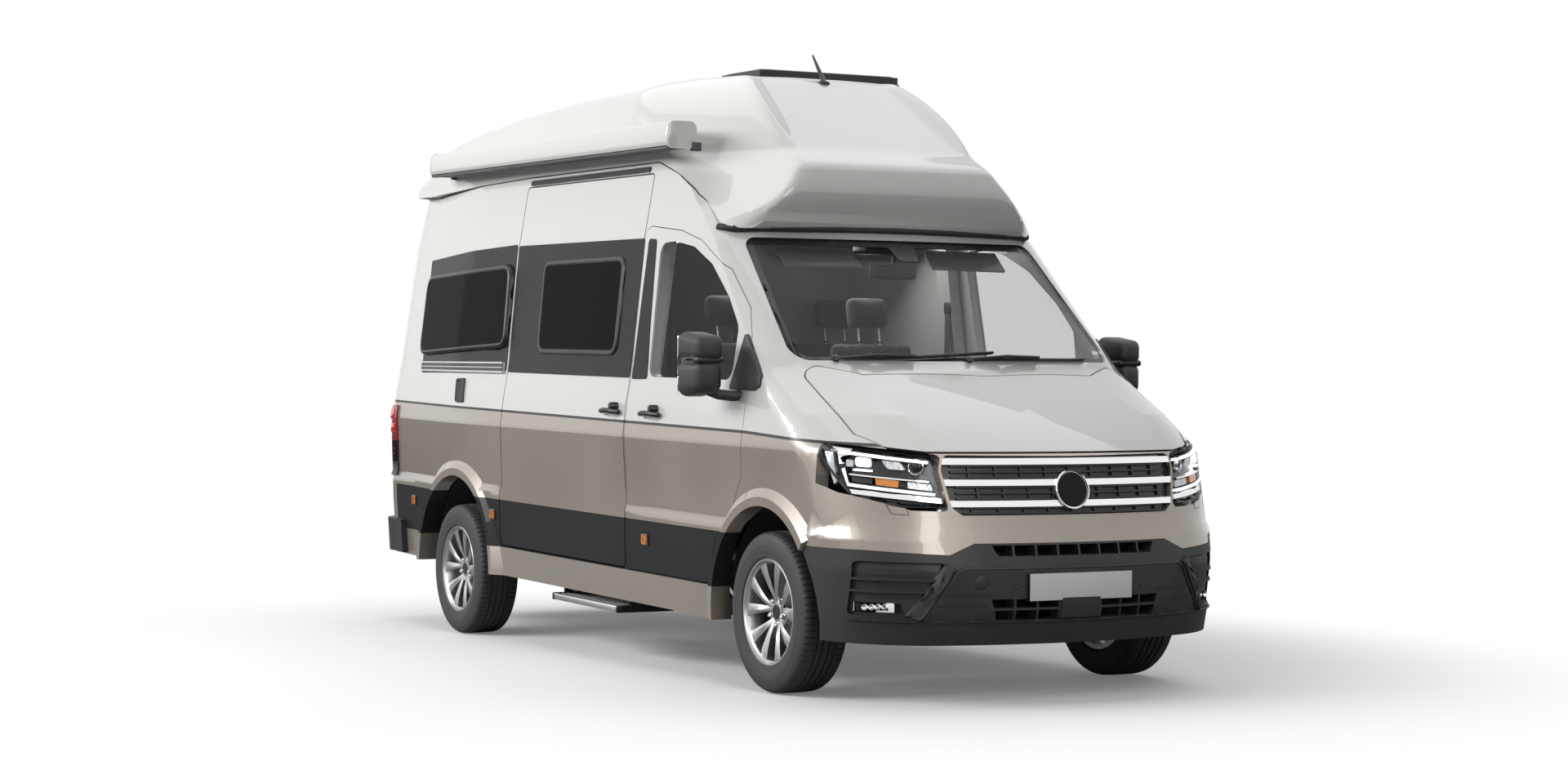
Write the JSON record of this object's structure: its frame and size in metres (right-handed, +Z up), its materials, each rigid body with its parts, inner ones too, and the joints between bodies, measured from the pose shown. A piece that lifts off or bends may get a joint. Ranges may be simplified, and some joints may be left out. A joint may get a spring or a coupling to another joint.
{
  "type": "camper van",
  "caption": "Panel-van camper with moulded high roof and overcab nose, glazed living space, wing rear doors, awning case and steerable road wheels.",
  "frame": {"origin": "on the ground under the middle of the overall box", "axes": "+X forward, +Y to the van's left, +Z up"},
  "size_m": [5.9834, 2.426, 3.0014],
  "materials": {
    "body_paint": "gloss",
    "roof_shell": "gloss",
    "black_plastic": "matt",
    "glass": "clear",
    "dark_metal": "matt",
    "steel": "satin",
    "alloy": "satin",
    "tyre": "matt",
    "lamp_clear": "clear",
    "lamp_red": "gloss",
    "seat_cloth": "soft",
    "bench_cloth": "soft",
    "trim_white": "satin",
    "dash_plastic": "matt"
  },
  "bodies": {
    "van_body": {"high_roof": "roof_shell", "side_wall_right": "body_paint", "side_wall_left": "body_paint", "sliding_door": "body_paint", "front_body": "body_paint", "door_posts": "body_paint", "windscreen": "glass", "front_bumper": "black_plastic", "grille": "black_plastic", "headlamps": "lamp_clear", "side_windows": "glass", "underbody": "dark_metal", "awning_case": "roof_shell", "roof_hatch_frame": "black_plastic", "roof_aerial": "black_plastic", "rear_bumper": "black_plastic", "tail_lamps": "lamp_red", "engine_block": "dark_metal", "front_subframe": "dark_metal", "front_struts": "dark_metal", "rear_axle": "dark_metal", "fuel_tank": "black_plastic", "exhaust": "steel", "dashboard": "dash_plastic", "cab_seats": "seat_cloth", "rear_bench": "bench_cloth", "kitchen_unit": "trim_white", "washroom": "trim_white", "rear_bed": "bench_cloth"},
    "bonnet": {"bonnet": "body_paint"},
    "cab_door_right": {"cab_door_right": "body_paint", "cab_door_glass_right": "glass", "mirror_right": "black_plastic"},
    "cab_door_left": {"cab_door_left": "body_paint", "cab_door_glass_left": "glass", "mirror_left": "black_plastic"},
    "rear_door_right": {"rear_door_right": "body_paint", "rear_door_glass_right": "glass"},
    "rear_door_left": {"rear_door_left": "body_paint", "rear_door_glass_left": "glass"},
    "roof_hatch_lid": {"roof_hatch_lid": "black_plastic"},
    "entry_step": {"entry_step": "alloy"},
    "knuckle_right": {"knuckle_right": "dark_metal"},
    "knuckle_left": {"knuckle_left": "dark_metal"},
    "steering_wheel": {"steering_wheel": "dash_plastic"},
    "wheel_front_right": {"tyre_front_right": "tyre", "rim_front_right": "alloy"},
    "wheel_front_left": {"tyre_front_left": "tyre", "rim_front_left": "alloy"},
    "wheel_rear_right": {"tyre_rear_right": "tyre", "rim_rear_right": "alloy"},
    "wheel_rear_left": {"tyre_rear_left": "tyre", "rim_rear_left": "alloy"}
  },
  "joints": [
    {"name": "cab_door_right_hinge", "type": "hinge", "parent": "van_body", "child": "cab_door_right", "pos_m": [1.7989, -1.012, 0.8562], "axis": [0.0244, 0, 0.9997], "range_deg": [0, 70]},
    {"name": "rear_door_right_hinge", "type": "hinge", "parent": "van_body", "child": "rear_door_right", "pos_m": [-2.94146, -0.822, 1.4722], "axis": [0.0244, 0, 0.9997], "range_deg": [0, 180]},
    {"name": "steer_right", "type": "hinge", "parent": "van_body", "child": "knuckle_right", "pos_m": [2, -0.755, 0.356], "axis": [0, 0.2079, 0.9781], "range_deg": [-36, 36]},
    {"name": "wheel_front_right_spin", "type": "hinge", "parent": "knuckle_right", "child": "wheel_front_right", "pos_m": [2, -0.867, 0.356], "axis": [0, 1, 0], "continuous": true},
    {"name": "wheel_rear_right_spin", "type": "hinge", "parent": "van_body", "child": "wheel_rear_right", "pos_m": [-1.64, -0.8735, 0.356], "axis": [0, 1, 0], "continuous": true},
    {"name": "cab_door_left_hinge", "type": "hinge", "parent": "van_body", "child": "cab_door_left", "pos_m": [1.7989, 1.012, 0.8562], "axis": [-0.0244, 0, -0.9997], "range_deg": [0, 70]},
    {"name": "rear_door_left_hinge", "type": "hinge", "parent": "van_body", "child": "rear_door_left", "pos_m": [-2.94146, 0.822, 1.4722], "axis": [-0.0244, 0, -0.9997], "range_deg": [0, 180]},
    {"name": "steer_left", "type": "hinge", "parent": "van_body", "child": "knuckle_left", "pos_m": [2, 0.755, 0.356], "axis": [0, -0.2079, 0.9781], "range_deg": [-36, 36]},
    {"name": "wheel_front_left_spin", "type": "hinge", "parent": "knuckle_left", "child": "wheel_front_left", "pos_m": [2, 0.867, 0.356], "axis": [0, 1, 0], "continuous": true},
    {"name": "wheel_rear_left_spin", "type": "hinge", "parent": "van_body", "child": "wheel_rear_left", "pos_m": [-1.64, 0.8735, 0.356], "axis": [0, 1, 0], "continuous": true},
    {"name": "bonnet_hinge", "type": "hinge", "parent": "van_body", "child": "bonnet", "pos_m": [1.97232, 0, 1.44414], "axis": [0, -1, 0], "range_deg": [0, 50]},
    {"name": "roof_hatch_hinge", "type": "hinge", "parent": "van_body", "child": "roof_hatch_lid", "pos_m": [0.42469, 0, 2.91089], "axis": [0, 1, 0], "range_deg": [0, 60]},
    {"name": "steering_wheel_turn", "type": "hinge", "parent": "van_body", "child": "steering_wheel", "pos_m": [1.1736, 0.4, 1.30161], "axis": [-0.8712, 0, 0.4909], "range_deg": [-540, 540]},
    {"name": "entry_step_slide", "type": "slide", "parent": "van_body", "child": "entry_step", "axis": [0, -1, 0], "range_m": [0, 0.2]}
  ],
  "couplings": [
    {"joint": "steer_right", "follows": "steer_left", "ratio": 1},
    {"joint": "steering_wheel_turn", "follows": "steer_left", "ratio": 15}
  ]
}
